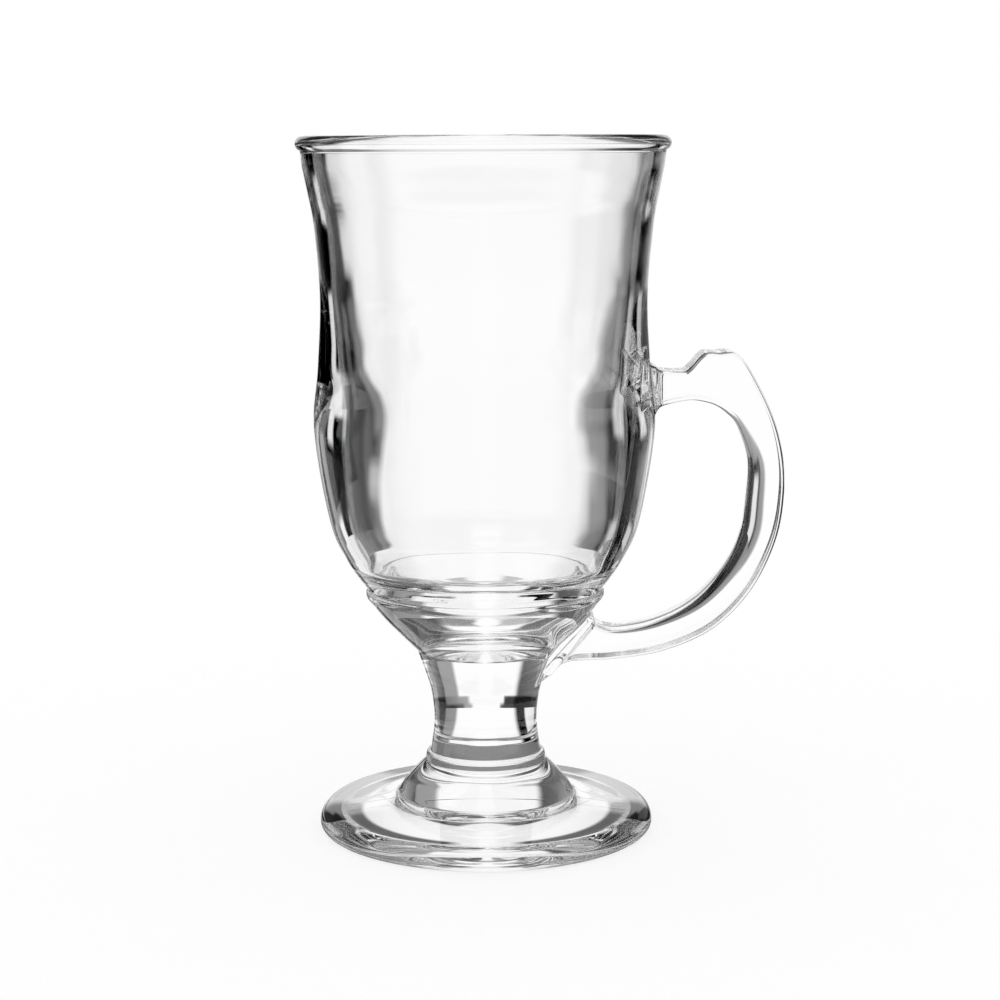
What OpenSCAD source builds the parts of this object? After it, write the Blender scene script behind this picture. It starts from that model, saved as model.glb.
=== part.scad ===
// Irish coffee glass: a waisted bowl on a short stem and a round foot, with a loop handle.
// Millimetres, +Z up. The origin is on the axis of the glass, where the foot stands.

/* [Bowl] */
// Height of the bowl from the collar to the top of the rim
bowl_h = 94.4; // [80:0.2:114]
// Radius of the bowl where it sits on the collar
seat_r = 24.6; // [20:0.2:28]
// Outer radius of the belly
belly_r = 35.6; // [31:0.1:41]
// Height of the belly above the collar
belly_z = 34; // [28:0.5:42]
// Outer radius of the waist
waist_r = 33.95; // [30:0.05:36]
// Height of the waist above the collar
waist_z = 61.5; // [52:0.5:70]
// Outer radius of the rim bead
rim_r = 38.7; // [37:0.1:44]
// Radius of the rolled bead's own section
bead_r = 1.65; // [1.2:0.05:2.2]
// How far the bead stands out from the neck of the bowl
bead_out = 1.1; // [0.6:0.05:1.5]
// Wall under the rim
rim_wall = 2.4; // [1.8:0.1:3.2]
// Wall at the waist
waist_wall = 2.6; // [2:0.1:3.5]
// Wall at the belly, thick because the inside has to taper for the plunger
belly_wall = 5.5; // [4:0.1:6.5]
// Wall at the shoulder below the belly
shoulder_wall = 4.5; // [3.5:0.1:6]
// Glass under the inside floor
floor_t = 4.4; // [3:0.1:6]
// Rounding inside, between the floor and the wall
floor_round = 5; // [3:0.1:7]
// Lean of the wall inside, where that rounding ends, in degrees
wall_lean = 20; // [10:1:28]

/* [Capital] */
// Height of the funnel-shaped collar
capital_h = 13; // [11:0.2:16]
// How far the ledge stands out from the foot of the bowl
ledge = 0.5; // [0.3:0.05:0.8]
// Height of the ledge's upright band
band_h = 1.4; // [1:0.1:2]
// Radius of the funnel's lower end, where it meets the stem
throat_r = 14.55; // [13:0.05:17]

/* [Stem] */
// Height of the stem between the foot and the capital
stem_h = 23.9; // [20:0.1:29]
// Radius of the thinnest part of the stem
stem_r = 10.9; // [9:0.1:12]
// Height of the thinnest part above the foot
thin_z = 8.4; // [7:0.1:10]
// Radius of the flange at the stem's lower end
flange_r = 12.7; // [12.2:0.1:14]
// Height of that flange
flange_h = 2; // [1.6:0.1:2.6]

/* [Foot] */
// Height of the foot up to the stem
foot_h = 14.7; // [12.5:0.1:17.5]
// Outer radius of the foot
foot_r = 35.4; // [31:0.1:42]
// Thickness of the plate at its rounded edge
edge_t = 5.2; // [4.6:0.1:6.2]
// Rounding of the edge below its widest place
under_r = 1.8; // [1.4:0.1:2.2]
// Radius of the cone's lower end on the plate
cone_r = 18.8; // [16:0.1:22]
// Rise of the plate from its edge to the cone
plate_rise = 2.4; // [1.8:0.1:3]
// Width of the flat ring that the foot stands on
ring_w = 4.2; // [3.4:0.1:5]
// Depth of the hollow under the foot
hollow_d = 2.8; // [1.5:0.1:3.4]

/* [Handle] */
// How far the handle stands out from the waist of the bowl
handle_out = 28.45; // [24:0.05:35]
// Thickness of the handle from front to back
handle_t = 10; // [8:0.1:12]
// Height of the upper arm's top above the collar
arm_z = 46; // [40:0.2:54]
// Height of the thumb rest above the upper arm
thumb_rise = 3.8; // [2.6:0.1:5]
// How far the lower arm's underside lies below the bowl
arm_drop = 15.3; // [13:0.1:17]
// Height of the upper arm
arm_h = 6.5; // [5.4:0.1:7.8]
// Radial width of the grip
grip_w = 8.1; // [6.8:0.1:9.6]
// Height of the lower arm
low_arm_h = 6.5; // [5.4:0.1:7.8]
// Rounding of the handle's edges
edge_r = 1; // [0.8:0.1:1.4]
// Extra rounding of the inner edges where the fingers go
finger_r = 2.4; // [1.5:0.1:2.8]
// How much the handle's roots spread to each side where they join
root_flare = 1.4; // [0.8:0.1:2]

/* [Hidden] */

// Faces round a full turn, steps between two named places of an outline, degrees a step of an arc
$fn = 96;
steps = 4;
arc_step = 15;
// Steps across the hollow under the foot, steps between two cuts of the handle
hollow_steps = 8;
cut_steps = 3;

stem_z = foot_h;
capital_z = stem_z + stem_h;
bowl_z = capital_z + capital_h;

glass = [0.84, 0.89, 0.9, 0.5];
grip_glass = [0.74, 0.82, 0.86, 0.5];

// A smooth curve through the points of p: cubic pieces whose slope at each point is
// half the step from the point before it to the point after it
function curve(p, n = steps) = [
    for (i = [0 : len(p) - 2])
        let (
            a = p[i],
            b = p[i + 1],
            slope_a = (b - p[max(i - 1, 0)]) / 2,
            slope_b = (p[min(i + 2, len(p) - 1)] - a) / 2
        )
        for (k = [0 : n - 1])
            let (t = k / n)
            (2 * t ^ 3 - 3 * t ^ 2 + 1) * a + (t ^ 3 - 2 * t ^ 2 + t) * slope_a
                + (3 * t ^ 2 - 2 * t ^ 3) * b + (t ^ 3 - t ^ 2) * slope_b,
    p[len(p) - 1]
];

// Points on a circle from angle a to angle b
function arc(centre, r, a, b) =
    let (n = max(2, ceil(abs(b - a) / arc_step)))
    [for (k = [0 : n]) centre + r * [cos(a + (b - a) * k / n), sin(a + (b - a) * k / n)]];

function between(a, b, share) = a + (b - a) * share;
function reversed(p) = [for (i = [len(p) - 1 : -1 : 0]) p[i]];
function lifted(p, z) = [for (q = p) q + [0, z]];

// Bowl: height share and radius share of the places between its named sizes
heel_shares = [0.203, 0.436];
shoulder_shares = [0.453, 0.736];
flank_shares = [0.476, 0.606];
lip_shares = [[0.49, 0.3], [0.697, 0.59], [0.902, 0.918]];

neck_r = rim_r - bead_out;
bead = [rim_r - bead_r, bowl_h - bead_r];
bead_start = -acos((neck_r - bead.x) / bead_r);
neck_z = bead.y + bead_r * sin(bead_start);
shoulder = [between(seat_r, belly_r, shoulder_shares[1]), belly_z * shoulder_shares[0]];

bowl_side = curve([
    [seat_r, 0],
    [between(seat_r, belly_r, heel_shares[1]), belly_z * heel_shares[0]],
    shoulder,
    [belly_r, belly_z],
    [between(belly_r, waist_r, flank_shares[1]), between(belly_z, waist_z, flank_shares[0])],
    [waist_r, waist_z],
    for (s = lip_shares) [between(waist_r, neck_r, s[1]), between(waist_z, neck_z, s[0])],
    [neck_r, neck_z],
]);

// The inside of the wall starts where the floor's rounding ends, one wall inside the bowl's skin
wall_z = floor_t + floor_round * (1 - sin(wall_lean));
wall_foot = [lookup(wall_z, [for (p = bowl_side) [p.y, p.x]]) - shoulder_wall, wall_z];

cup_side = curve([
    wall_foot,
    shoulder - [shoulder_wall, 0],
    [belly_r - belly_wall, belly_z],
    [waist_r - waist_wall, waist_z],
    for (s = lip_shares)
        [
            between(waist_r - waist_wall, neck_r - rim_wall, s[1]),
            between(waist_z, neck_z, s[0])
        ],
    [neck_r - rim_wall, neck_z],
]);

cup_floor = concat(
    [[0, floor_t]],
    arc(
        [wall_foot.x - floor_round * cos(wall_lean), floor_t + floor_round],
        floor_round, -90, -wall_lean - arc_step / 2
    )
);

// Capital: height share and radius share of the bends in the funnel
funnel_shares = [[0.4, 0.44], [0.7, 0.74]];

ledge_r = seat_r + ledge;
capital_side = concat(
    curve([
        [throat_r, 0],
        for (s = funnel_shares)
            [between(throat_r, ledge_r, s[1]), between(0, capital_h - band_h, s[0])],
        [ledge_r, capital_h - band_h],
    ]),
    arc([seat_r, capital_h - ledge], ledge, 0, 90)
);

// Stem: height share and radius share of the flare above the thinnest part
flare_shares = [[0.4, 0.16], [0.7, 0.55]];
flange_neck_share = 0.45;

stem_side = concat(
    [[flange_r, 0]],
    arc([flange_r - flange_h / 2, flange_h / 2], flange_h / 2, 0, 75),
    curve([
        [between(stem_r, flange_r, flange_neck_share), flange_h],
        [stem_r, thin_z],
        for (s = flare_shares)
            [between(stem_r, throat_r, s[1]), between(thin_z, stem_h, s[0])],
        [throat_r, stem_h],
    ])
);

// Foot: height share and radius share on the cone, then on the plate that it runs out into
cone_shares = [[0.3, 0.35], [0.6, 0.66], [0.86, 0.89]];
plate_shares = [[0.3, 0.16], [0.62, 0.5]];

over_r = edge_t - under_r;
edge_x = foot_r - over_r;
ring_out = foot_r - under_r;
ring_in = ring_out - ring_w;
plate_z = edge_t + plate_rise;

foot_side = concat(
    arc([ring_out, under_r], under_r, -90, 0),
    arc([edge_x, under_r], over_r, arc_step, 90 - arc_step),
    reversed(curve([
        [flange_r, foot_h],
        for (s = cone_shares) [between(flange_r, cone_r, s[1]), between(foot_h, plate_z, s[0])],
        [cone_r, plate_z],
        for (s = plate_shares) [between(cone_r, edge_x, s[1]), between(plate_z, edge_t, s[0])],
        [edge_x, edge_t],
    ]))
);
foot_hollow = [
    for (k = [hollow_steps : -1 : 0])
        let (t = k / hollow_steps)
        [ring_in * t, hollow_d * (1 - t ^ 2)]
];

// Handle: each row is one cut across it, from the root on the bowl to the root on the capital.
// Places are counted from the collar. Upper arm rows: share of the way out, share of the
// thumb rise, lean of the cut in degrees, share of arm_h, share of the root flare, share of finger_r
reach = waist_r + handle_out;
wall_x = lookup(arm_z, [for (p = bowl_side) [p.y, p.x]]);
low_z = -arm_drop;
upper_shares = [
    [-0.15, 0, -90, 1, 0.5, 0],
    [0, 0.32, -90, 1.55, 1, 0],
    [0.075, 0.03, -90, 1.14, 0.2, 0],
    [0.23, 0, -90, 0.97, 0, 0],
    [0.285, 0.2, -82, 1.07, 0, 0],
    [0.385, 0.95, -86, 1.57, 0, 0],
    [0.49, 1, -90.5, 1.71, 0, 0.05],
    [0.615, 0.98, -97, 1.94, 0, 0.2],
    [0.72, 0.21, -101, 1.87, 0, 0.4],
];
// Grip rows: share of the way out, share of the height of the handle, then as above with grip_w
grip_shares = [
    [0.894, 0.81, -123, 1.14, 0, 0.7],
    [0.982, 0.68, -152.4, 0.94, 0, 0.95],
    [1, 0.548, -173, 0.95, 0, 1],
    [0.941, 0.395, -192.3, 0.88, 0, 1],
    [0.762, 0.235, -223.2, 0.89, 0, 0.75],
];
// Lower arm rows: share of the reach from the axis, then as above with low_arm_h
lower_shares = [
    [0.766, 0.1075, -240, 1.07, 0, 0.4],
    [0.598, 0.035, -256.6, 0.97, 0, 0.1],
    [0.428, 0.009, -277, 0.95, 0.15, 0],
    [0.275, 0.0015, -308, 1.5, 0.5, 0],
    [0.212, -0.045, -306, 2.38, 0.9, 0],
    [0.12, -0.11, -291, 3.05, 0.5, 0],
];

// A cut: outer point, inner point, half the thickness, rounding of the inner edges
function cut(x, z, row, w) = [
    x,
    z,
    x + w * row[3] * cos(row[2]),
    z + w * row[3] * sin(row[2]),
    handle_t / 2 + root_flare * row[4],
    edge_r + finger_r * row[5]
];
handle_top = arm_z + thumb_rise;
cuts = curve(concat(
    [for (s = upper_shares)
        cut(between(wall_x, reach, s[0]), between(arm_z, handle_top, s[1]), s, arm_h)],
    [for (s = grip_shares)
        cut(between(wall_x, reach, s[0]), between(low_z, handle_top, s[1]), s, grip_w)],
    [for (s = lower_shares)
        cut(reach * s[0], between(low_z, handle_top, s[1]), s, low_arm_h)]
), cut_steps);

// Twelve points round a cut, three on each rounded corner, counted from the outer edge
function corner(x, y, r, a) = [for (b = [a, a + 45, a + 90]) [x + r * cos(b), y + r * sin(b)]];
function ring(c) =
    let (
        inner = [c[2], c[3]],
        w = norm([c[0], c[1]] - inner),
        u = ([c[0], c[1]] - inner) / w,
        flat = concat(
            corner(w - edge_r, c[4] - edge_r, edge_r, 0),
            corner(c[5], c[4] - c[5], c[5], 90),
            corner(c[5], c[5] - c[4], c[5], 180),
            corner(w - edge_r, edge_r - c[4], edge_r, 270)
        )
    )
    [for (p = flat) [inner.x + u.x * p.x, p.y, bowl_z + inner.y + u.y * p.x]];

// Solid of revolution of an outline that starts and ends on the axis
module turned(outline) {
    rotate_extrude() polygon(outline);
}

// The glass inside the outer skin of bowl, capital and stem, which the handle stops at
module core() {
    turned(concat(
        [[0, stem_z]],
        lifted(stem_side, stem_z),
        lifted(capital_side, capital_z),
        lifted(bowl_side, bowl_z),
        [[0, bowl_z + neck_z]]
    ));
}

module bowl() {
    color(glass)
        turned(lifted(
            concat(
                [[0, 0]],
                bowl_side,
                arc(bead, bead_r, bead_start, 180),
                reversed(cup_side),
                reversed(cup_floor)
            ),
            bowl_z
        ));
}

module capital() {
    color(glass)
        turned(lifted(concat([[0, 0]], capital_side, [[0, capital_h]]), capital_z));
}

module stem() {
    color(glass)
        turned(lifted(concat([[0, 0]], stem_side, [[0, stem_h]]), stem_z));
}

module foot() {
    color(glass)
        turned(concat(reversed(foot_hollow), foot_side, [[0, foot_h]]));
}

module handle() {
    rings = [for (c = cuts) ring(c)];
    n = len(rings[0]);
    last = len(rings) - 1;
    color(grip_glass)
        difference() {
            polyhedron(
                points = [for (r = rings) for (p = r) p],
                faces = concat(
                    [[for (j = [n - 1 : -1 : 0]) j]],
                    [for (k = [0 : last - 1]) for (j = [0 : n - 1])
                        [k * n + j, k * n + (j + 1) % n, (k + 1) * n + (j + 1) % n]],
                    [for (k = [0 : last - 1]) for (j = [0 : n - 1])
                        [k * n + j, (k + 1) * n + (j + 1) % n, (k + 1) * n + j]],
                    [[for (j = [0 : n - 1]) last * n + j]]
                ),
                convexity = 4
            );
            core();
        }
}

bowl();
capital();
stem();
foot();
handle();
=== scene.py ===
"""Irish coffee glass in clear pressed glass, dressed over its five CAD nodes.

One outline is turned round the axis and cut at the joints into bowl, capital, stem and foot.
The handle is a rounded section carried along its own path and trimmed on the turned skin.
Where two pieces are joined hot, both carry the same weld faces, which show nothing.
"""
import math
import bpy
import numpy as np
from mathutils import Euler, Matrix, Vector
from mathutils.geometry import delaunay_2d_cdt


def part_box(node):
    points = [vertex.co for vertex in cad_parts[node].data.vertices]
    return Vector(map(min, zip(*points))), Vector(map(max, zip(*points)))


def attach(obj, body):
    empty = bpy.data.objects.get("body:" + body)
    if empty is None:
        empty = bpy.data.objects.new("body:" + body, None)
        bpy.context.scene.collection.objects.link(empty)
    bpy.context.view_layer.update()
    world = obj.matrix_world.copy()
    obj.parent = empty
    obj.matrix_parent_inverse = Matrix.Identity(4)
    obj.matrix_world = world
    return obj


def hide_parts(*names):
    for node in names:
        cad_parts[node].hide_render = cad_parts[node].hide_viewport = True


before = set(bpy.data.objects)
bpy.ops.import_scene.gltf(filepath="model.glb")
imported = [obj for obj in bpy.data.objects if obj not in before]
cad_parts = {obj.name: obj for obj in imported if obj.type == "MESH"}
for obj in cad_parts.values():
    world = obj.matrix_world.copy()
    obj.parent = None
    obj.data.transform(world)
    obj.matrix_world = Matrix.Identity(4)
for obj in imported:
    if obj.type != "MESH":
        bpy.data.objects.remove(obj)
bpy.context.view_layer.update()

MM = 0.001

# Sizes of the glass in millimetres, as in the CAD source
seat_r, belly_r, waist_r, rim_r = 24.6, 35.6, 33.95, 38.7
belly_z, waist_z = 34.0, 61.5
bead_r, bead_out = 1.65, 1.1
rim_wall, waist_wall, belly_wall, shoulder_wall = 2.4, 2.6, 5.5, 4.5
floor_t, floor_round, wall_lean = 4.4, 5.0, 20.0
ledge, band_h, throat_r = 0.5, 1.4, 14.55
stem_r, thin_z, flange_r, flange_h = 10.9, 8.4, 12.7, 2.0
foot_r, edge_t, under_r, cone_r, plate_rise = 35.4, 5.2, 1.8, 18.8, 2.4
ring_w, hollow_d = 4.2, 2.8
handle_out, handle_t, arm_z, thumb_rise, arm_drop = 28.45, 10.0, 46.0, 3.8, 15.3
arm_h, grip_w, low_arm_h = 6.5, 8.1, 6.5
edge_r, finger_r, root_flare = 1.0, 2.4, 1.4

# Heights of the joints, from the frame
stem_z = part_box("foot")[1].z / MM
capital_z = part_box("stem")[1].z / MM
bowl_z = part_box("bowl")[0].z / MM
top_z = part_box("bowl")[1].z / MM

# Shares between named sizes: height share, then radius share
heel_shares = (0.203, 0.436)
shoulder_shares = (0.453, 0.736)
flank_shares = (0.476, 0.606)
lip_shares = ((0.49, 0.3), (0.697, 0.59), (0.902, 0.918))
funnel_shares = ((0.4, 0.44), (0.7, 0.74))
flare_shares = ((0.4, 0.16), (0.7, 0.55))
flange_neck_share = 0.45
cone_shares = ((0.3, 0.35), (0.6, 0.66), (0.86, 0.89))
plate_shares = ((0.3, 0.16), (0.62, 0.5))

# Handle cuts: share along, share up, lean in degrees, width share, flare share, finger rounding share
upper_shares = (
    (-0.15, 0, -90, 1, 0.5, 0),
    (0, 0.32, -90, 1.55, 1, 0),
    (0.075, 0.03, -90, 1.14, 0.2, 0),
    (0.23, 0, -90, 0.97, 0, 0),
    (0.285, 0.2, -82, 1.07, 0, 0),
    (0.385, 0.95, -86, 1.57, 0, 0),
    (0.49, 1, -90.5, 1.71, 0, 0.05),
    (0.615, 0.98, -97, 1.94, 0, 0.2),
    (0.72, 0.21, -101, 1.87, 0, 0.4),
)
grip_shares = (
    (0.894, 0.81, -123, 1.14, 0, 0.7),
    (0.982, 0.68, -152.4, 0.94, 0, 0.95),
    (1, 0.548, -173, 0.95, 0, 1),
    (0.941, 0.395, -192.3, 0.88, 0, 1),
    (0.762, 0.235, -223.2, 0.89, 0, 0.75),
)
lower_shares = (
    (0.766, 0.1075, -240, 1.07, 0, 0.4),
    (0.598, 0.035, -256.6, 0.97, 0, 0.1),
    (0.428, 0.009, -277, 0.95, 0.15, 0),
    (0.275, 0.0015, -308, 1.5, 0.5, 0),
    (0.212, -0.045, -306, 2.38, 0.9, 0),
    (0.12, -0.11, -291, 3.05, 0.5, 0),
)

# Fineness of the meshes: points round the axis, steps from place to place of a curve, mm along it
around = 288
curve_steps = 8
outline_step = 0.05

# How wide the flame softens corners, and how far the handle runs out into the skin, in millimetres
polish = 0.22
root_polish = 0.8


def between(a, b, share):
    """The place at that share of the way from a to b."""
    return a + (b - a) * share


def curve(points, steps):
    """Cubic pieces through the points; the slope at each is half the step between its neighbours."""
    p = np.asarray(points, float)
    before = np.vstack([p[:1], p[:-1]])
    after = np.vstack([p[1:], p[-1:]])
    slope = (after - before) / 2
    t = (np.arange(steps) / steps)[None, :, None]
    a, b = p[:-1, None], p[1:, None]
    sa, sb = slope[:-1, None], slope[1:, None]
    pieces = (
        (2 * t**3 - 3 * t**2 + 1) * a
        + (t**3 - 2 * t**2 + t) * sa
        + (3 * t**2 - 2 * t**3) * b
        + (t**3 - t**2) * sb
    )
    return np.vstack([pieces.reshape(-1, p.shape[1]), p[-1:]])


def arc(centre, radius, start, end, steps=12):
    """Points on a circle from one angle to another, in degrees."""
    a = np.radians(np.linspace(start, end, steps + 1))
    return np.asarray(centre) + radius * np.column_stack([np.cos(a), np.sin(a)])


def shared(low, high, shares):
    """Outline places between two (radius, height) corners, from (height share, radius share) pairs."""
    return [(between(low[0], high[0], s[1]), between(low[1], high[1], s[0])) for s in shares]


def outline():
    """(radius, height) of the glass from the middle of its underside, over the rim, to the cup's floor,
    with the row at which each joint lies."""
    hollow_steps, bead_steps = 24, 24
    over_start, over_end, flange_end = 8, 82, 75
    over_r = edge_t - under_r
    edge_x, ring_out = foot_r - over_r, foot_r - under_r
    ring_in, plate_z = ring_out - ring_w, edge_t + plate_rise
    t = np.linspace(0, 1, hollow_steps + 1)
    hollow = np.column_stack([ring_in * t, hollow_d * (1 - t**2)])
    cone = curve(
        [(flange_r, stem_z)]
        + shared((flange_r, stem_z), (cone_r, plate_z), cone_shares)
        + [(cone_r, plate_z)]
        + shared((cone_r, plate_z), (edge_x, edge_t), plate_shares)
        + [(edge_x, edge_t)],
        curve_steps,
    )
    foot = np.vstack([
        hollow,
        arc((ring_out, under_r), under_r, -90, 0),
        arc((edge_x, under_r), over_r, over_start, over_end),
        cone[::-1],
    ])
    half = flange_h / 2
    stem_h = capital_z - stem_z
    stem = np.vstack([
        [(flange_r, 0)],
        arc((flange_r - half, half), half, 0, flange_end),
        curve(
            [(between(stem_r, flange_r, flange_neck_share), flange_h), (stem_r, thin_z)]
            + shared((stem_r, thin_z), (throat_r, stem_h), flare_shares)
            + [(throat_r, stem_h)],
            curve_steps,
        ),
    ]) + (0, stem_z)
    capital_h, ledge_r = bowl_z - capital_z, seat_r + ledge
    capital = np.vstack([
        curve(
            [(throat_r, 0)]
            + shared((throat_r, 0), (ledge_r, capital_h - band_h), funnel_shares)
            + [(ledge_r, capital_h - band_h)],
            curve_steps,
        ),
        arc((seat_r, capital_h - ledge), ledge, 0, 90),
    ]) + (0, capital_z)
    neck_r, bowl_h = rim_r - bead_out, top_z - bowl_z
    bead = (rim_r - bead_r, bowl_h - bead_r)
    bead_start = -math.degrees(math.acos((neck_r - bead[0]) / bead_r))
    neck_z = bead[1] + bead_r * math.sin(math.radians(bead_start))
    shoulder = (between(seat_r, belly_r, shoulder_shares[1]), belly_z * shoulder_shares[0])
    lip = [(between(waist_r, neck_r, s[1]), between(waist_z, neck_z, s[0])) for s in lip_shares]
    outer = curve(
        [
            (seat_r, 0),
            (between(seat_r, belly_r, heel_shares[1]), belly_z * heel_shares[0]),
            shoulder,
            (belly_r, belly_z),
            (between(belly_r, waist_r, flank_shares[1]), between(belly_z, waist_z, flank_shares[0])),
            (waist_r, waist_z),
            *lip,
            (neck_r, neck_z),
        ],
        curve_steps,
    )
    mouth_r, throat = neck_r - rim_wall, waist_r - waist_wall
    lean = math.radians(wall_lean)
    wall_z = floor_t + floor_round * (1 - math.sin(lean))
    wall_x = float(np.interp(wall_z, outer[:, 1], outer[:, 0])) - shoulder_wall
    cup = curve(
        [(wall_x, wall_z), (shoulder[0] - shoulder_wall, shoulder[1])]
        + [(belly_r - belly_wall, belly_z), (throat, waist_z)]
        + [(between(throat, mouth_r, s[1]), between(waist_z, neck_z, s[0])) for s in lip_shares]
        + [(mouth_r, neck_z)],
        curve_steps,
    )
    turn = (wall_x - floor_round * math.cos(lean), floor_t + floor_round)
    cup_floor = np.vstack([[(0, floor_t)], arc(turn, floor_round, -90, -wall_lean)[:-1]])
    rim = arc(bead, bead_r, bead_start, 180, bead_steps)
    bowl = np.vstack([outer, rim, cup[::-1], cup_floor[::-1]]) + (0, bowl_z)
    parts = [foot, stem, capital, bowl]
    line = np.vstack(parts)
    joints = np.cumsum([len(p) for p in parts])[:-1]
    return line, joints


def along(line):
    """Length of the way along the line up to each of its points."""
    return np.concatenate([[0], np.cumsum(np.hypot(*np.diff(line, axis=0).T))])


def fire_polished(line, joints):
    """The outline every outline_step, its corners softened as by flame: each point becomes the mean of
    its neighbours under a bell curve, and past the axis the outline goes on as its mirror image.
    Also gives the length along the outline, and the length at each joint."""
    same_place, bell_reach = 1e-9, 4
    s = along(line)
    keep = np.concatenate([[True], np.diff(s) > same_place])
    at = s[joints]
    fine = np.arange(0, s[-1], outline_step)
    r, z = (np.interp(fine, s[keep], line[keep, k]) for k in (0, 1))
    n = int(bell_reach * polish / outline_step)
    bell = np.exp(-((np.arange(-n, n + 1) * outline_step / polish) ** 2) / 2)
    bell /= bell.sum()
    r = np.convolve(np.concatenate([-r[n:0:-1], r, -r[-2 : -n - 2 : -1]]), bell, "valid")
    z = np.convolve(np.concatenate([z[n:0:-1], z, z[-2 : -n - 2 : -1]]), bell, "valid")
    r[0] = r[-1] = 0
    return np.column_stack([r, z]), fine, at


def spaced(line, s, start, end, coarse=1.1, fine=0.16):
    """Places along the outline from start to end, close where it bends and wide where it runs straight:
    each step turns it by about 5 degrees, between the two step sizes."""
    turn_a_step, straight, fewest, mean_of = 0.09, 1e-6, 8, 9
    inside = np.linspace(start, end, max(fewest, int((end - start) / outline_step)))
    d = np.gradient(line, s, axis=0)
    lean = np.unwrap(np.arctan2(d[:, 1], d[:, 0]))
    bend = np.abs(np.gradient(lean, s))
    bend = np.convolve(bend, np.ones(mean_of) / mean_of, "same")
    step = np.clip(turn_a_step / np.maximum(np.interp(inside, s, bend), straight), fine, coarse)
    count = np.concatenate([[0], np.cumsum(np.diff(inside) / step[1:])])
    return np.interp(np.linspace(0, count[-1], int(math.ceil(count[-1])) + 1), count, inside)


line, line_s, joint_s = fire_polished(*outline())
stops = [0, *joint_s, line_s[-1]]
runs = [spaced(line, line_s, a, b) for a, b in zip(stops[:-1], stops[1:])]
row_s = np.concatenate([runs[0]] + [r[1:] for r in runs[1:]])
joint_rows = np.cumsum([len(runs[0]) - 1] + [len(r) - 1 for r in runs[1:-1]])
row_r, row_z = (np.interp(row_s, line_s, line[:, k]) for k in (0, 1))
rim_row = int(np.argmax(row_z))
theta = -math.pi + 2 * math.pi * np.arange(around) / around

# Height of the outer skin to its radius and to its place along the outline, from the cone to the lip
below_stem, short_of_rim = 2.0, 3.0
on_skin = (line_s > joint_s[0] - below_stem) & (line_s < row_s[rim_row] - short_of_rim)
skin_z = np.maximum.accumulate(line[on_skin, 1])
skin_r = line[on_skin, 0]
skin_s = line_s[on_skin]


def ripple(angle, s):
    """Slow waves that the mould and the plunger leave, in mm: three products of a wave round the axis
    and a wave along the outline, each with its share, its count and start round the axis, and its
    reach and start along the outline."""
    height = 0.016
    waves = ((1, 3, 0.4, 7.5, 1.1), (0.8, 5, 2.1, 5.1, 0.3), (0.6, 8, 4.0, 3.7, 2.6))
    return height * sum(
        share * np.cos(count * angle + round_start) * np.sin(s / reach + along_start)
        for share, count, round_start, reach, along_start in waves
    )


def turned_grid():
    """Every row of the outline at every angle, with the ripple laid on along the skin's normal, fading
    towards the axis and the resting ring."""
    fade_r, fade_z = 6.0, 4.0
    dr, dz = np.gradient(row_r, row_s), np.gradient(row_z, row_s)
    size = np.hypot(dr, dz)
    nr, nz = dz / size, -dr / size
    fade = np.clip(row_r / fade_r, 0, 1) * np.clip(row_z / fade_z, 0, 1)
    lift = ripple(theta[None, :], row_s[:, None]) * fade[:, None]
    r = row_r[:, None] + nr[:, None] * lift
    z = row_z[:, None] + nz[:, None] * lift
    return np.stack([r * np.cos(theta), r * np.sin(theta), z], axis=-1)


def grid_normals(grid, closed):
    """Unit normals of a grid: the cross product of its two central differences."""
    shortest = 1e-12
    across = (np.roll(grid, -1, 1) - np.roll(grid, 1, 1)) if closed else np.gradient(grid, axis=1)
    up = np.gradient(grid, axis=0)
    n = np.cross(across, up)
    return n / np.maximum(np.linalg.norm(n, axis=-1, keepdims=True), shortest)


skin = turned_grid()
skin_n = grid_normals(skin, True)
skin_n[0], skin_n[-1] = (0, 0, -1), (0, 0, 1)


def on_grid(values, angle, s):
    """Values of the turned grid at any angle and place along the outline, from the four nodes around."""
    row = np.interp(s, row_s, np.arange(len(row_s)))
    col = (np.asarray(angle) + math.pi) / (2 * math.pi) * around
    i, j = np.clip(row.astype(int), 0, len(row_s) - 2), col.astype(int)
    a, b = (row - i)[:, None], (col - j)[:, None]
    left, right = j % around, (j + 1) % around
    low = values[i, left] * (1 - b) + values[i, right] * b
    high = values[i + 1, left] * (1 - b) + values[i + 1, right] * b
    return low * (1 - a) + high * a


# Handle

def handle_cuts(steps):
    """Cuts across the handle: outer point, inner point, half thickness and inner rounding of each."""
    reach = waist_r + handle_out
    wall_x = float(np.interp(bowl_z + arm_z, skin_z, skin_r))
    top, low = arm_z + thumb_rise, -arm_drop
    parts = (
        (upper_shares, wall_x, arm_z, arm_h),
        (grip_shares, wall_x, low, grip_w),
        (lower_shares, 0, low, low_arm_h),
    )
    cuts = []
    for shares, start_x, start_z, width in parts:
        for out, up, lean, wide, flare, finger in shares:
            x, z = between(start_x, reach, out), between(start_z, top, up)
            a, w = math.radians(lean), width * wide
            inner = (x + w * math.cos(a), z + w * math.sin(a))
            cuts.append((x, z, *inner, handle_t / 2 + root_flare * flare, edge_r + finger_r * finger))
    return curve(cuts, steps)


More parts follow.
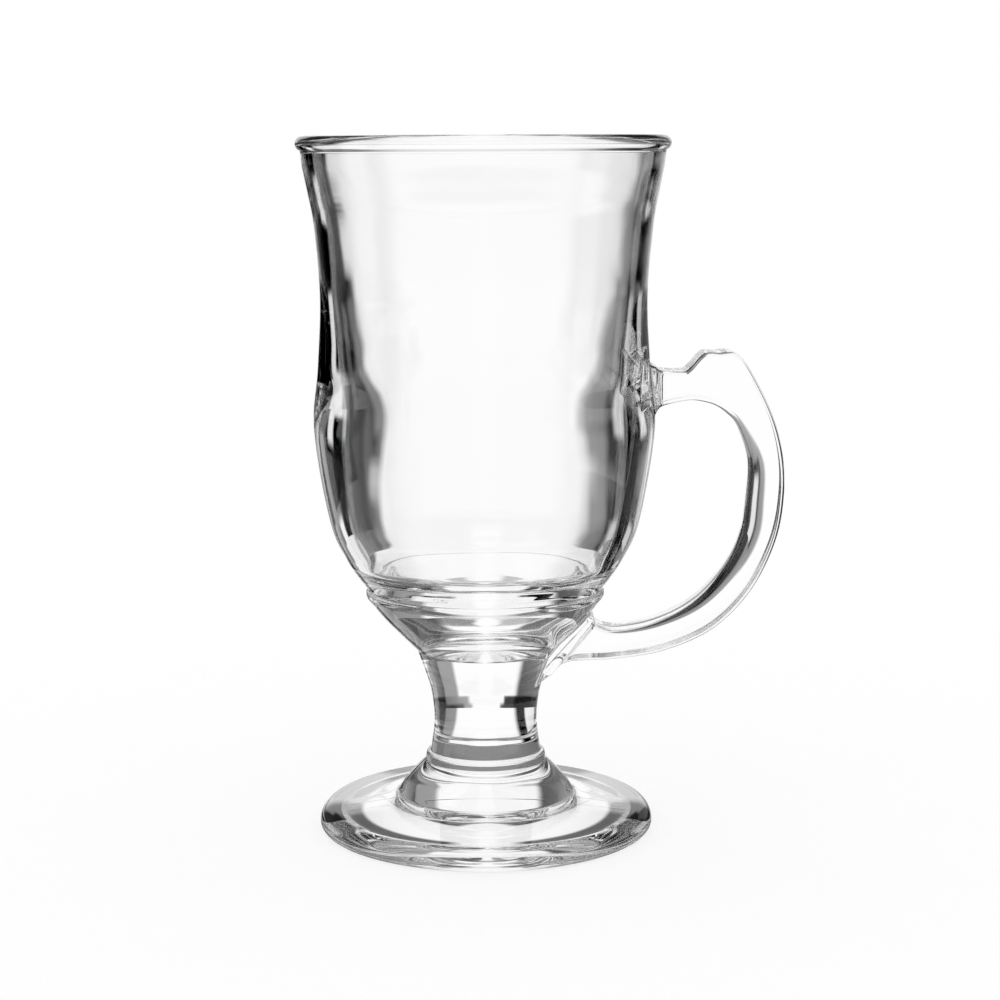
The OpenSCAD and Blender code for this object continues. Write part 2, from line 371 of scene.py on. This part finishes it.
def sections(cuts, corner_steps=6, side_steps=5):
    """Points and outward directions round every cut: a rectangle with rounded corners, small outside
    and large where the fingers go. Both are (cut, point, xyz) arrays."""
    inner, outer = cuts[:, 2:4], cuts[:, 0:2]
    w = np.hypot(*(outer - inner).T)
    u = (outer - inner) / w[:, None]
    half, soft, hard = cuts[:, 4], cuts[:, 5], np.full_like(w, edge_r)
    centres = (
        (w - hard, half - hard),
        (soft, half - soft),
        (soft, soft - half),
        (w - hard, hard - half),
    )
    corners, ways = [], []
    for k, radius in enumerate((hard, soft, soft, hard)):
        a = np.radians(90 * k + np.linspace(0, 90, corner_steps + 1))
        ways.append(np.column_stack([np.cos(a), np.sin(a)]))
        corners.append(np.stack(centres[k], -1)[:, None] + radius[:, None, None] * ways[k])
    t = (np.arange(1, side_steps) / side_steps)[:, None]
    flat, out = [], []
    for k in range(4):
        flat += [corners[k], between(corners[k][:, -1:], corners[(k + 1) % 4][:, :1], t)]
        out += [ways[k], ways[k][-1:].repeat(side_steps - 1, 0)]
    flat, out = np.concatenate(flat, 1), np.concatenate(out)
    xyz = np.stack([
        inner[:, None, 0] + u[:, None, 0] * flat[..., 0],
        flat[..., 1],
        bowl_z + inner[:, None, 1] + u[:, None, 1] * flat[..., 0],
    ], -1)
    way = np.stack([
        u[:, None, 0] * out[:, 0],
        out[:, 1] + 0 * u[:, None, 0],
        u[:, None, 1] * out[:, 0],
    ], -1)
    return xyz, way


def at_index(values, index):
    """Values of every lengthwise line of a (cut, point) array at fractional cut numbers."""
    k = np.clip(index.astype(int), 0, len(values) - 2)
    share = index - k
    line_no = np.arange(values.shape[1])[None].repeat(len(index), 0)
    if values.ndim == 3:
        share = share[..., None]
    return values[k, line_no] * (1 - share) + values[k + 1, line_no] * share


def off_skin(points):
    """How far each point lies outside the turned skin, measured from the axis."""
    return np.hypot(points[..., 0], points[..., 1]) - np.interp(points[..., 2], skin_z, skin_r)


def handle_grid(rings=170, root_rings=8, cut_steps=16):
    """The handle's skin from the upper root to the lower one. Each lengthwise line is cut where it meets
    the turned skin, and spreads there along a quarter circle, so that it runs out into that skin."""
    xyz, way = sections(handle_cuts(cut_steps))
    gap = off_skin(xyz)
    count, points = gap.shape
    line_no = np.arange(points)
    first = np.argmax(gap > 0, 0)
    last = count - 1 - np.argmax(gap[::-1] > 0, 0)
    start = first - gap[first, line_no] / (gap[first, line_no] - gap[first - 1, line_no])
    end = last + gap[last, line_no] / (gap[last, line_no] - gap[last + 1, line_no])
    steps = np.linalg.norm(np.diff(xyz, axis=0), axis=2)
    length = np.concatenate([np.zeros((1, points)), np.cumsum(steps, 0)])
    alpha = np.radians(np.linspace(90, 0, root_rings + 1))
    depth, spread = root_polish * (1 - np.sin(alpha)), root_polish * (1 - np.cos(alpha))
    index = np.arange(count)
    near, far = np.empty((root_rings + 1, points)), np.empty((root_rings + 1, points))
    for v in range(points):
        begin, finish = np.interp([start[v], end[v]], index, length[:, v])
        near[:, v] = np.interp(begin + depth, length[:, v], index)
        far[:, v] = np.interp(finish - depth, length[:, v], index)
    t = (np.arange(1, rings) / rings)[:, None]
    where = np.concatenate([near, between(near[-1], far[-1], t), far[::-1]])
    grid, out = at_index(xyz, where), at_index(way, where)
    shift = np.concatenate([spread, np.zeros(rings - 1), spread[::-1]])
    kept = off_skin(grid)
    grid = grid + shift[:, None, None] * out
    scale = (np.interp(grid[..., 2], skin_z, skin_r) + kept) / np.hypot(grid[..., 0], grid[..., 1])
    at_root = (shift > 0)[:, None]
    grid[..., :2] *= np.where(at_root, scale, 1)[..., None]
    return grid


handle = handle_grid()
handle_n = -grid_normals(handle, True)


# Roots of the handle on the turned skin

def inside(points, loop):
    """Which points lie inside a closed loop, by how often a line to the right of them crosses it."""
    x, y = points[:, :1], points[:, 1:]
    ax, ay = loop.T
    bx, by = np.roll(loop, -1, 0).T
    crosses = (ay > y) != (by > y)
    at = ax + (y - ay) / np.where(by == ay, 1, by - ay) * (bx - ax)
    return (crosses & (x < at)).sum(1) % 2 == 1


def root_patch(ring, base, margin=2.4, clear=0.3):
    """A window of the skin round one root, triangulated so that the root's ring is among its edges.
    In the plane of (angle times radius, place along the outline) the window's nodes, its border, the
    ring and any joint row are joined by a constrained Delaunay triangulation."""
    triangles, same_point = 0, 1e-7
    angle = np.arctan2(ring[:, 1], ring[:, 0])
    s = np.interp(ring[:, 2], skin_z, skin_s)
    radius = float(np.mean(np.hypot(ring[:, 0], ring[:, 1])))
    low, high = s.min() - margin, s.max() + margin
    i0, i1 = np.searchsorted(row_s, low) - 1, np.searchsorted(row_s, high)
    wide = np.abs(angle).max() + margin / radius
    j0 = int((math.pi - wide) / (2 * math.pi) * around)
    j1 = int(math.ceil((math.pi + wide) / (2 * math.pi) * around))
    joints = [i for i in joint_rows if i0 < i < i1]
    for i in joints:
        above = s > row_s[i]
        for v in np.flatnonzero(above != np.roll(above, -1)):
            pair = [v, (v + 1) % len(s)]
            nearer = pair[int(np.argmin(np.abs(s[pair] - row_s[i])))]
            s[nearer] = row_s[i]
    loop = np.column_stack([angle * radius, s])
    ii, jj = np.meshgrid(np.arange(i0, i1 + 1), np.arange(j0, j1 + 1), indexing="ij")
    ii, jj = ii.ravel(), jj.ravel()
    nodes = np.column_stack([theta[jj] * radius, row_s[ii]])
    border = (ii == i0) | (ii == i1) | (jj == j0) | (jj == j1)
    free = np.linalg.norm(nodes[:, None] - loop[None], axis=2).min(1) > clear
    keep = border | free
    ii, jj, nodes = ii[keep], jj[keep], nodes[keep]
    number = {(i, j): n for n, (i, j) in enumerate(zip(ii.tolist(), jj.tolist()))}
    count = len(nodes)
    edges = [(count + v, count + (v + 1) % len(s)) for v in range(len(s))]
    for i in (i0, i1):
        edges += [(number[i, j], number[i, j + 1]) for j in range(j0, j1)]
    for j in (j0, j1):
        edges += [(number[i, j], number[i + 1, j]) for i in range(i0, i1)]
    chains = {}
    for i in joints:
        on_row = [(nodes[number[i, j], 0], number[i, j]) for j in range(j0, j1 + 1) if (i, j) in number]
        on_row += [(loop[v, 0], count + v) for v in np.flatnonzero(s == row_s[i])]
        chains[i] = [n for _, n in sorted(on_row)]
        edges += list(zip(chains[i][:-1], chains[i][1:]))
    flat = np.vstack([nodes, loop])
    out = delaunay_2d_cdt([Vector(p) for p in flat], edges, [], triangles, same_point)
    source = np.array([o[0] if o else -1 for o in out[3]])
    tris = source[np.array(out[2])]
    assert (tris >= 0).all(), "the root's ring crosses the window's edges"
    ids = np.concatenate([ii * around + jj, base + np.arange(len(s))])
    middle = flat[tris].mean(1)
    return {
        "window": (i0, i1, j0, j1),
        "chains": {i: ids[chain] for i, chain in chains.items()},
        "angle": angle,
        "s": s,
        "tris": ids[tris],
        "middle_s": middle[:, 1],
        "pad": inside(middle, loop),
    }


points_round = handle.shape[1]
grid_count = len(row_s) * around
roots = [
    root_patch(handle[0], grid_count),
    root_patch(handle[-1], grid_count + points_round),
]
for end, root in zip((0, -1), roots):
    handle[end] = on_grid(skin, root["angle"], root["s"])
    handle_n[end] = on_grid(skin_n, root["angle"], root["s"])
all_points = np.concatenate([skin.reshape(-1, 3), handle[0], handle[-1]])
all_normals = np.concatenate([skin_n.reshape(-1, 3), handle_n[0], handle_n[-1]])


# Materials

soft_step = {"interpolation_type": "SMOOTHSTEP"}


def linear(hex_colour):
    """An sRGB hex colour as linear RGBA: a straight line near black, and a power of 2.4 above it."""
    c = np.array([int(hex_colour[i : i + 2], 16) / 255 for i in (1, 3, 5)])
    return (*np.where(c <= 0.04045, c / 12.92, ((c + 0.055) / 1.055) ** 2.4), 1.0)


def add(tree, kind, settings=None, inputs=None, links=None):
    """Adds a node: settings are its own values, inputs its sockets' values, links what feeds them."""
    node = tree.nodes.new(kind)
    for name, value in (settings or {}).items():
        setattr(node, name, value)
    for name, value in (inputs or {}).items():
        node.inputs[name].default_value = value
    for name, source in (links or {}).items():
        tree.links.new(source, node.inputs[name])
    return node


def new_material(name):
    """A material with an empty node tree and its output node."""
    material = bpy.data.materials.new(name)
    material.use_nodes = True
    material.node_tree.nodes.clear()
    return material, add(material.node_tree, "ShaderNodeOutputMaterial")


def pressed_glass(name, mould_marks):
    """Clear pressed soda-lime glass, fire polished: colourless, IOR 1.52, sharp where nothing rubs it.
    The chill of the mould leaves slow waves and a finer orange peel. Outside, the mould's two halves
    leave a faint seam in the handle's plane, and use wears the ring that the glass stands on."""
    wave_length, wave_height = 11 * MM, 0.02 * MM
    peel_grain, peel_height = 2.2 * MM, 0.0006 * MM
    seam_half, seam_height = 0.28 * MM, 0.012 * MM
    ring_height, ring_roughness, rub_grain = 0.15 * MM, 0.2, 0.9 * MM
    material, output = new_material(name)
    tree = material.node_tree
    place = add(tree, "ShaderNodeTexCoord").outputs["Object"]
    waves = add(
        tree,
        "ShaderNodeTexNoise",
        None,
        {"Scale": 1 / wave_length, "Detail": 1.0},
        {"Vector": place},
    )
    chill = add(
        tree,
        "ShaderNodeBump",
        None,
        {"Strength": 1.0, "Distance": wave_height},
        {"Height": waves.outputs["Fac"]},
    )
    peel = add(
        tree,
        "ShaderNodeTexNoise",
        None,
        {"Scale": 1 / peel_grain, "Detail": 2.0},
        {"Vector": place},
    )
    skin_bump = add(
        tree,
        "ShaderNodeBump",
        None,
        {"Strength": 1.0, "Distance": peel_height},
        {"Height": peel.outputs["Fac"], "Normal": chill.outputs["Normal"]},
    )
    shader = add(
        tree,
        "ShaderNodeBsdfPrincipled",
        None,
        {"Base Color": linear("#FEFEFE"), "IOR": 1.52, "Transmission Weight": 1.0, "Roughness": 0.0},
        {"Normal": skin_bump.outputs["Normal"]},
    )
    tree.links.new(shader.outputs["BSDF"], output.inputs["Surface"])
    if mould_marks:
        axes = add(tree, "ShaderNodeSeparateXYZ", None, None, {"Vector": place})
        off_plane = add(tree, "ShaderNodeMath", {"operation": "ABSOLUTE"}, None, {0: axes.outputs["Y"]})
        ridge = add(
            tree,
            "ShaderNodeMapRange",
            soft_step,
            {"From Min": 0.0, "From Max": seam_half, "To Min": 1.0, "To Max": 0.0},
            {"Value": off_plane.outputs[0]},
        )
        seam = add(
            tree,
            "ShaderNodeBump",
            None,
            {"Strength": 1.0, "Distance": seam_height},
            {"Height": ridge.outputs[0], "Normal": skin_bump.outputs["Normal"]},
        )
        tree.links.new(seam.outputs["Normal"], shader.inputs["Normal"])
        rubs = add(
            tree,
            "ShaderNodeTexNoise",
            None,
            {"Scale": 1 / rub_grain, "Detail": 3.0},
            {"Vector": place},
        )
        worn = add(
            tree,
            "ShaderNodeMapRange",
            soft_step,
            {"From Min": 0.0, "From Max": ring_height, "To Min": ring_roughness, "To Max": 0.0},
            {"Value": axes.outputs["Z"]},
        )
        patchy = add(
            tree,
            "ShaderNodeMath",
            {"operation": "MULTIPLY"},
            None,
            {0: worn.outputs[0], 1: rubs.outputs["Fac"]},
        )
        tree.links.new(patchy.outputs[0], shader.inputs["Roughness"])
    return material


def hot_joint():
    """Where two gathers of the same glass are joined hot, light passes and nothing shows."""
    material, output = new_material("hot_joint_in_the_glass")
    tree = material.node_tree
    shader = add(
        tree,
        "ShaderNodeBsdfPrincipled",
        None,
        {"Base Color": linear("#FFFFFF"), "Alpha": 0.0, "Roughness": 1.0},
    )
    tree.links.new(shader.outputs["BSDF"], output.inputs["Surface"])
    return material


mould_side = pressed_glass("pressed_soda_lime_glass_mould_side", mould_marks=True)
plunger_side = pressed_glass("pressed_soda_lime_glass_plunger_side", mould_marks=False)
joint_glass = hot_joint()
looks = (mould_side, plunger_side, joint_glass)
MOULD, PLUNGER, WELD = range(3)


# Pieces

def glass_piece(name, node, points, normals, faces, kinds):
    """A closed mesh in metres from faces of any size, with one look for each face, smooth all over."""
    used, faces_flat = np.unique(np.concatenate([f.ravel() for f in faces]), return_inverse=True)
    lists, at = [], 0
    for f in faces:
        lists += faces_flat[at : at + f.size].reshape(f.shape).tolist()
        at += f.size
    mesh = bpy.data.meshes.new(name)
    mesh.from_pydata((points[used] * MM).tolist(), [], lists)
    for look in looks:
        mesh.materials.append(look)
    mesh.polygons.foreach_set("material_index", np.concatenate(kinds).astype(np.int32))
    mesh.polygons.foreach_set("use_smooth", np.ones(len(lists), bool))
    mesh.update()
    mesh.normals_split_custom_set_from_vertices(normals[used].tolist())
    piece = bpy.data.objects.new(name, mesh)
    bpy.context.scene.collection.objects.link(piece)
    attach(piece, "root")
    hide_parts(node)
    return piece


def joint_ring(row):
    """One row's points round the axis, with a root's own points where its window crosses the row."""
    ring = row * around + np.arange(around)
    for root in roots:
        if row in root["chains"]:
            j0, j1 = root["window"][2:]
            ring = np.concatenate([ring[:j0], root["chains"][row], ring[j1 + 1 :]])
    return ring


def turned_piece(name, node, low, high):
    """The turned skin between two rows of the outline, closed by a weld disc at each joint and by a
    small fan of glass where the outline meets the axis."""
    faces, kinds = [], []
    levels = np.arange(max(low, 1), min(high, len(row_s) - 2))
    i, j = np.meshgrid(levels, np.arange(around), indexing="ij")
    in_window = np.zeros(i.shape, bool)
    for root in roots:
        i0, i1, j0, j1 = root["window"]
        in_window |= (i >= i0) & (i < i1) & (j >= j0) & (j < j1)
    i, j = i[~in_window], j[~in_window]
    k = (j + 1) % around
    here, above = i * around, (i + 1) * around
    faces.append(np.column_stack([here + j, here + k, above + k, above + j]))
    kinds.append(np.where(i >= rim_row, PLUNGER, MOULD))
    for root in roots:
        mine = (root["middle_s"] > row_s[low]) & (root["middle_s"] < row_s[high])
        faces.append(root["tris"][mine])
        kinds.append(np.where(root["pad"][mine], WELD, MOULD))
    points, normals = [all_points], [all_normals]
    centre = len(all_points)
    for row, opens in ((low, False), (high, True)):
        ring, kind = joint_ring(row), WELD
        if row == 0:
            ring, kind = joint_ring(1), MOULD
        elif row == len(row_s) - 1:
            ring, kind = joint_ring(row - 1), PLUNGER
        after = np.roll(ring, -1)
        middle = np.full(len(ring), centre)
        fan = (middle, ring, after) if opens else (middle, after, ring)
        faces.append(np.column_stack(fan))
        kinds.append(np.full(len(ring), kind))
        points.append([(0, 0, row_z[row])])
        normals.append([(0, 0, 1 if opens else -1)])
        centre += 1
    return glass_piece(name, node, np.vstack(points), np.vstack(normals), faces, kinds)


def handle_piece():
    """The handle's skin, closed at each root by the pad that it shares with the turned skin."""
    rings = len(handle)
    body = len(all_points)
    number = body + np.arange(rings * points_round).reshape(rings, points_round)
    number[0] = grid_count + np.arange(points_round)
    number[-1] = grid_count + points_round + np.arange(points_round)
    beside = np.roll(number, -1, 1)
    side = np.stack([number[:-1], number[1:], beside[1:], beside[:-1]], -1).reshape(-1, 4)
    faces, kinds = [side], [np.full(len(side), MOULD)]
    for root in roots:
        pad = root["tris"][root["pad"]][:, ::-1]
        faces.append(pad)
        kinds.append(np.full(len(pad), WELD))
    points = np.vstack([all_points, handle.reshape(-1, 3)])
    normals = np.vstack([all_normals, handle_n.reshape(-1, 3)])
    return glass_piece("handle_glass", "handle", points, normals, faces, kinds)


rows = [0, *joint_rows.tolist(), len(row_s) - 1]
for node, low, high in zip(("foot", "stem", "capital", "bowl"), rows[:-1], rows[1:]):
    turned_piece(node + "_glass", node, low, high)
handle_piece()


# Studio

def camera():
    """The photograph's view: a long lens a little above the rim, looking slightly down."""
    focal_px, frame_px, sensor = 2330.0, 1000.0, 36.0
    height, distance, pitch, roll, left_px = 144.3, 484.2, 8.7, -0.25, 15.3
    data = bpy.data.cameras.new("camera")
    data.sensor_width = sensor
    data.lens = focal_px / frame_px * sensor
    data.shift_x = left_px / frame_px
    data.clip_start, data.clip_end = 0.01, 50
    view = bpy.data.objects.new("camera", data)
    view.location = Vector((0, -distance, height)) * MM
    view.rotation_euler = (
        Euler((math.radians(90 - pitch), 0, 0)).to_matrix() @ Matrix.Rotation(math.radians(roll), 3, "Z")
    ).to_euler()
    bpy.context.scene.collection.objects.link(view)
    bpy.context.scene.camera = view


# White windows and dark cloth round the glass. A layer is (degrees above the horizon up to which it
# reaches, its stops), and a stop is (degrees round the axis, level of light): 0 degrees is straight
# behind the glass, + to its right, and level 1 is white. Stops run from -180 to 180.
SKY = (
    (-18, (
        (-180, 1), (-120, 1), (-110, 0.1), (-102, 0), (-98, 0.9), (-82, 0.9), (-78, 0), (-62, 0),
        (-57, 0.95), (-33, 0.95), (-30, 0), (-14, 0), (-9, 1), (9, 1), (12, 0.3), (18, 0), (24, 0.6),
        (30, 0.6), (33, 0), (60, 0), (66, 0.9), (180, 1),
    )),
    (-8, (
        (-180, 1), (-120, 1), (-110, 0.1), (-102, 0), (-98, 0.9), (-82, 0.9), (-78, 0), (-42, 0),
        (-40, 1), (-33, 1), (-31, 0), (-13.5, 0), (-12.5, 0.2), (-11, 0.2), (-9.7, 1), (9, 1),
        (10.2, 0.3), (16, 0.22), (18, 0.03), (20, 0.03), (22, 0.8), (31, 0.8), (34, 0), (110, 0),
        (120, 1), (180, 1),
    )),
    (-3.9, (
        (-180, 1), (-120, 1), (-110, 0.1), (-102, 0), (-98, 0.9), (-82, 0.9), (-78, 0), (-12.3, 0),
        (-11.8, 0.15), (-10.8, 0.15), (-10.1, 1), (9.6, 1), (10.4, 0.38), (16, 0.32), (18, 0.04),
        (30, 0), (110, 0), (120, 1), (180, 1),
    )),
    (2, (
        (-180, 1), (-120, 0.9), (-102, 0.3), (-98, 0.9), (-82, 0.9), (-78, 0), (-14.2, 0), (-12.7, 1),
        (12, 1), (13.2, 0.38), (22, 0.3), (36, 0.2), (38, 0), (75, 0), (120, 0.9), (180, 1),
    )),
    (20, (
        (-180, 0.9), (-120, 0.7), (-102, 0.2), (-98, 0.7), (-82, 0.7), (-78, 0.1), (-52, 0.2),
        (-26, 0.1), (-22, 1), (20, 1), (22, 0.35), (36, 0.35), (38, 0.1), (55, 0.3), (75, 0.2),
        (120, 0.7), (180, 0.9),
    )),
    (42, (
        (-180, 0.2), (-60, 0.1), (-15, 0.1), (-6, 0.8), (6, 0.8), (15, 0.1), (60, 0.05), (130, 0.05),
        (180, 0.2),
    )),
    (90, (
        (-180, 1), (-165, 1), (-158, 0.4), (-135, 0.4), (-128, 1), (-95, 1), (-88, 0.1), (-45, 0.1),
        (-38, 1), (40, 1), (50, 0.1), (160, 0.1), (168, 1), (180, 1),
    )),
)

# Painted light and painted shade on the table, glowing white and dark round the foot for light that has
# met only glass: a layer is (mm from the axis to which it reaches, its stops)
PAINTED_TABLE_LIGHT_AND_SHADE = (
    (13, (
        (-180, 1), (-160, 1), (-150, 0), (-98, 0), (-90, 0.7), (-42, 1), (-28, 0.2), (28, 0.2), (42, 1),
        (65, 0.8), (90, 0.4), (98, 0), (150, 0), (160, 1), (180, 1),
    )),
    (22, (
        (-180, 1), (-42, 1), (-28, 0.2), (28, 0.2), (42, 1), (180, 1),
    )),
    (26, (
        (-180, 1), (-45, 1), (-38, 0), (-8, 0), (-4, 1), (4, 1), (8, 0), (38, 0), (45, 1), (180, 1),
    )),
    (42, (
        (-180, 1), (-170, 1), (-162, 0), (-89, 0), (-82, 0.5), (-45, 0.5), (-38, 0), (-8, 0), (-4, 1),
        (4, 1), (8, 0), (38, 0), (45, 0.5), (82, 0.5), (89, 0), (162, 0), (170, 1), (180, 1),
    )),
    (105, (
        (-180, 1), (-125, 1), (-115, 0.05), (-61, 0.05), (-57, 0.9), (-36, 0.9), (-34, 0), (-25, 0),
        (-21, 1), (22, 1), (23, 0.3), (36, 0.25), (38, 0.05), (115, 0.05), (125, 1), (180, 1),
    )),
    (250, (
        (-180, 1), (-120, 1), (-108, 0.2), (-102, 0.9), (-78, 0.9), (-72, 0.1), (-61, 0.1), (-57, 0.95),
        (-36, 0.95), (-34, 0), (-25, 0), (-21, 1), (22, 1), (23, 0.3), (36, 0.25), (38, 0), (110, 0),
        (120, 1), (180, 1),
    )),
)


def degrees_ramp(tree, angle, stops):
    """Levels of light over the compass, from (degrees, level) stops in order. A new ramp has its two
    end elements already, so only the stops between them are added."""
    share = add(
        tree,
        "ShaderNodeMapRange",
        None,
        {"From Min": -math.pi, "From Max": math.pi},
        {"Value": angle},
    )
    ramp = add(tree, "ShaderNodeValToRGB", None, None, {"Fac": share.outputs[0]})
    elements = ramp.color_ramp.elements
    for degrees, _ in stops[1:-1]:
        elements.new((degrees + 180) / 360)
    for element, (_, level) in zip(elements, stops):
        element.color = (level, level, level, 1)
    return ramp.outputs["Color"]


def compass(tree, place):
    """The angle of a place or direction round the axis, 0 straight behind the glass, + to its right."""
    split = add(tree, "ShaderNodeSeparateXYZ", None, None, {0: place})
    turn = add(
        tree,
        "ShaderNodeMath",
        {"operation": "ARCTAN2"},
        None,
        {0: split.outputs["X"], 1: split.outputs["Y"]},
    )
    return turn.outputs[0], split.outputs


def after_glass(tree):
    """1 for light that has met only glass so far, 0 for what the camera or a matt surface sees."""
    none_yet = 0.5
    path = add(tree, "ShaderNodeLightPath").outputs
    glass = add(
        tree,
        "ShaderNodeMath",
        {"operation": "MAXIMUM"},
        None,
        {0: path["Is Glossy Ray"], 1: path["Is Transmission Ray"]},
    )
    no_matt = add(
        tree,
        "ShaderNodeMath",
        {"operation": "LESS_THAN"},
        {1: none_yet},
        {0: path["Diffuse Depth"]},
    )
    both = add(
        tree,
        "ShaderNodeMath",
        {"operation": "MULTIPLY"},
        None,
        {0: glass.outputs[0], 1: no_matt.outputs[0]},
    )
    return both.outputs[0]


def layered(tree, angle, value, layers, unit, soft):
    """The tone of one layer after another as the value passes the end of each, with a soft step. The
    Mix node's sockets 6 and 7 are its two colours, and its output 2 is the mixed colour."""
    (reach, stops), *others = layers
    tone, end = degrees_ramp(tree, angle, stops), unit(reach)
    for reach, stops in others:
        above = degrees_ramp(tree, angle, stops)
        step = add(
            tree,
            "ShaderNodeMapRange",
            soft_step,
            {"From Min": end - soft, "From Max": end + soft},
            {"Value": value},
        )
        mix = add(
            tree,
            "ShaderNodeMix",
            {"data_type": "RGBA"},
            None,
            {0: step.outputs[0], 6: tone, 7: above},
        )
        tone, end = mix.outputs[2], unit(reach)
    return tone


def floor():
    """A plain pale table. Seen directly it is topped up to white and keeps the object's shadow. To
    light that has met only glass it shows painted light and painted shade laid round the foot: rings and
    sectors that glow white, grey and black."""
    table_r, table_corners, painted_ring_edge = 0.25, 128, 0.7 * MM
    own_light = 0.7
    material, output = new_material("matt_white_table")
    tree = material.node_tree
    diffuse = add(tree, "ShaderNodeBsdfDiffuse", None, {"Color": linear("#959595")})
    glow = add(tree, "ShaderNodeEmission", None, {"Color": linear("#FFFFFF"), "Strength": own_light})
    seen = add(tree, "ShaderNodeAddShader", None, None, {0: diffuse.outputs[0], 1: glow.outputs[0]})
    place = add(tree, "ShaderNodeTexCoord").outputs["Object"]
    angle, _ = compass(tree, place)
    radius = add(tree, "ShaderNodeVectorMath", {"operation": "LENGTH"}, None, {0: place})
    # Painted light and painted shade: the table glows in white and dark rings and sectors that only
    # light through the glass sees.
    tone = layered(tree, angle, radius.outputs["Value"], PAINTED_TABLE_LIGHT_AND_SHADE, lambda reach: reach * MM, painted_ring_edge)
    painted_light_and_shade = add(tree, "ShaderNodeEmission", None, {"Strength": 1.0}, {"Color": tone})
    shown = add(
        tree,
        "ShaderNodeMixShader",
        None,
        None,
        {0: after_glass(tree), 1: seen.outputs[0], 2: painted_light_and_shade.outputs[0]},
    )
    tree.links.new(shown.outputs[0], output.inputs["Surface"])
    turn = 2 * math.pi * np.arange(table_corners) / table_corners
    edge = np.column_stack([table_r * np.cos(turn), table_r * np.sin(turn), 0 * turn])
    mesh = bpy.data.meshes.new("floor")
    mesh.from_pydata(edge.tolist(), [], [list(range(table_corners))])
    mesh.materials.append(material)
    table = bpy.data.objects.new("floor", mesh)
    bpy.context.scene.collection.objects.link(table)


def studio_world():
    """White to the camera and to matt surfaces; windows and cloth to light that has met only glass."""
    window_edge = 0.025
    world = bpy.data.worlds.new("studio")
    bpy.context.scene.world = world
    world.use_nodes = True
    tree = world.node_tree
    tree.nodes.clear()
    output = add(tree, "ShaderNodeOutputWorld")
    way = add(tree, "ShaderNodeTexCoord").outputs["Generated"]
    angle, axes = compass(tree, way)
    tone = layered(tree, angle, axes["Z"], SKY, lambda reach: math.sin(math.radians(reach)), window_edge)
    plain = add(tree, "ShaderNodeBackground", None, {"Color": linear("#FFFFFF"), "Strength": 1.0})
    windows = add(tree, "ShaderNodeBackground", None, {"Strength": 1.0}, {"Color": tone})
    shown = add(
        tree,
        "ShaderNodeMixShader",
        None,
        None,
        {0: after_glass(tree), 1: plain.outputs[0], 2: windows.outputs[0]},
    )
    tree.links.new(shown.outputs[0], output.inputs["Surface"])


def light_paths():
    """Room for the many walls, reflections and joint faces that a ray meets in a footed glass."""
    walls, reflections, joint_faces = 32, 24, 96
    cycles = bpy.context.scene.cycles
    cycles.max_bounces = walls
    cycles.transmission_bounces = walls
    cycles.glossy_bounces = reflections
    cycles.transparent_max_bounces = joint_faces


camera()
floor()
studio_world()
light_paths()
bpy.context.scene.view_settings.view_transform = "Standard"
